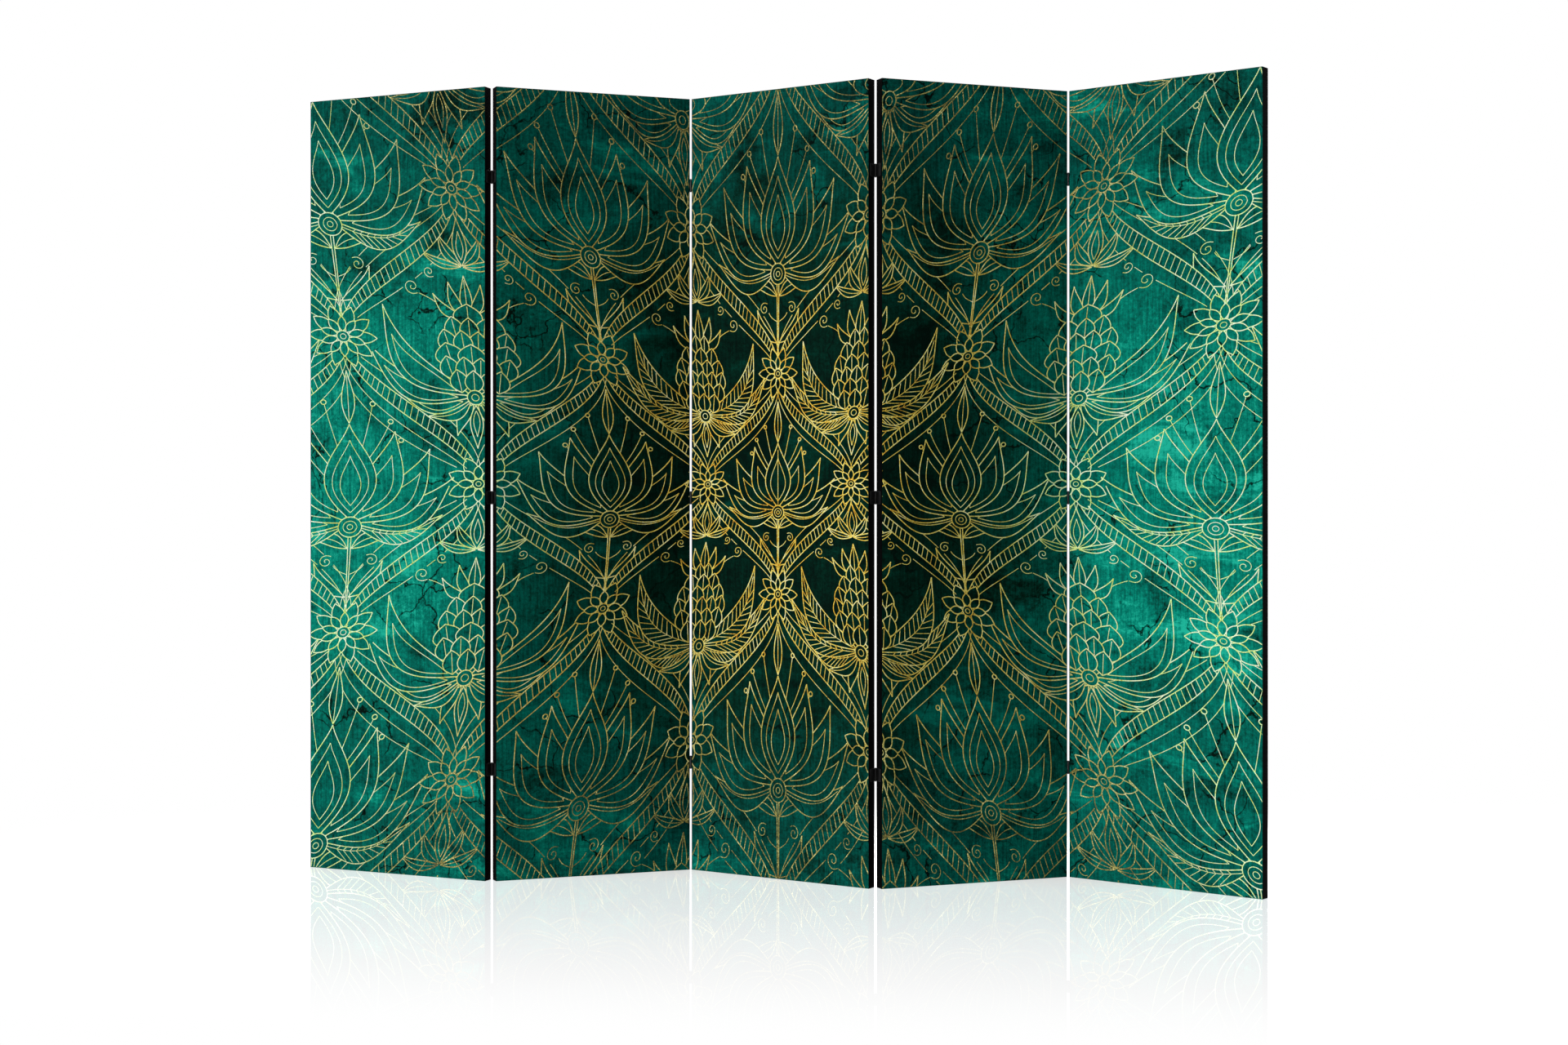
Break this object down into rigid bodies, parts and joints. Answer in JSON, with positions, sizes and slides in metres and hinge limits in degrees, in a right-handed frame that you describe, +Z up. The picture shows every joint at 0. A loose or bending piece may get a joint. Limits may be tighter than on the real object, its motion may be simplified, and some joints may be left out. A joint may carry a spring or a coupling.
{
  "type": "folding screen",
  "caption": "Free-standing folding screen: cloth-covered pine-framed panels joined edge to edge by small black pin hinges, standing in a zigzag.",
  "frame": {"origin": "on the floor, at the middle of the box that the screen fills as it stands at rest", "axes": "+Z up; X along the screen's run, from panel 1 to panel 5; -Y towards the printed front"},
  "size_m": [2.0776, 0.2642, 1.72],
  "materials": {
    "pine": "planed, unfinished",
    "printed_canvas": "matt woven canvas with a printed teal ground and gold line work",
    "lining": "plain off-white cloth",
    "edge_tape": "matt black tape",
    "hinge_black": "black lacquer, satin",
    "pin_black": "blackened steel, satin"
  },
  "bodies": {
    "panel_1": {"panel_1_left_stile": "pine", "panel_1_right_stile": "pine", "panel_1_bottom_rail": "pine", "panel_1_top_rail": "pine", "panel_1_cross_bar": "pine", "panel_1_printed_canvas": "printed_canvas", "panel_1_back_lining": "lining", "panel_1_edge_tape": "edge_tape", "panel_1_right_hinge_leaves": "hinge_black", "fold_1_2_pins": "pin_black"},
    "panel_2": {"panel_2_left_stile": "pine", "panel_2_right_stile": "pine", "panel_2_bottom_rail": "pine", "panel_2_top_rail": "pine", "panel_2_cross_bar": "pine", "panel_2_printed_canvas": "printed_canvas", "panel_2_back_lining": "lining", "panel_2_edge_tape": "edge_tape", "panel_2_left_hinge_leaves": "hinge_black", "panel_2_right_hinge_leaves": "hinge_black", "fold_2_3_pins": "pin_black"},
    "panel_3": {"panel_3_left_stile": "pine", "panel_3_right_stile": "pine", "panel_3_bottom_rail": "pine", "panel_3_top_rail": "pine", "panel_3_cross_bar": "pine", "panel_3_printed_canvas": "printed_canvas", "panel_3_back_lining": "lining", "panel_3_edge_tape": "edge_tape", "panel_3_left_hinge_leaves": "hinge_black", "panel_3_right_hinge_leaves": "hinge_black", "fold_3_4_pins": "pin_black"},
    "panel_4": {"panel_4_left_stile": "pine", "panel_4_right_stile": "pine", "panel_4_bottom_rail": "pine", "panel_4_top_rail": "pine", "panel_4_cross_bar": "pine", "panel_4_printed_canvas": "printed_canvas", "panel_4_back_lining": "lining", "panel_4_edge_tape": "edge_tape", "panel_4_left_hinge_leaves": "hinge_black", "panel_4_right_hinge_leaves": "hinge_black", "fold_4_5_pins": "pin_black"},
    "panel_5": {"panel_5_left_stile": "pine", "panel_5_right_stile": "pine", "panel_5_bottom_rail": "pine", "panel_5_top_rail": "pine", "panel_5_cross_bar": "pine", "panel_5_printed_canvas": "printed_canvas", "panel_5_back_lining": "lining", "panel_5_edge_tape": "edge_tape", "panel_5_left_hinge_leaves": "hinge_black"}
  },
  "joints": [
    {"name": "fold_2_3", "type": "hinge", "parent": "panel_3", "child": "panel_2", "pos_m": [-0.18676, 0.10972, 0], "axis": [0, 0, 1], "range_deg": [-55, 125]},
    {"name": "fold_1_2", "type": "hinge", "parent": "panel_2", "child": "panel_1", "pos_m": [-0.60194, -0.07552, 0], "axis": [0, 0, 1], "range_deg": [-134, 46]},
    {"name": "fold_3_4", "type": "hinge", "parent": "panel_3", "child": "panel_4", "pos_m": [0.22842, -0.07552, 0], "axis": [0, 0, 1], "range_deg": [-55, 125]},
    {"name": "fold_4_5", "type": "hinge", "parent": "panel_4", "child": "panel_5", "pos_m": [0.64359, 0.10972, 0], "axis": [0, 0, 1], "range_deg": [-120, 60]}
  ],
  "couplings": [
    {"joint": "fold_3_4", "follows": "fold_2_3", "ratio": 1}
  ]
}
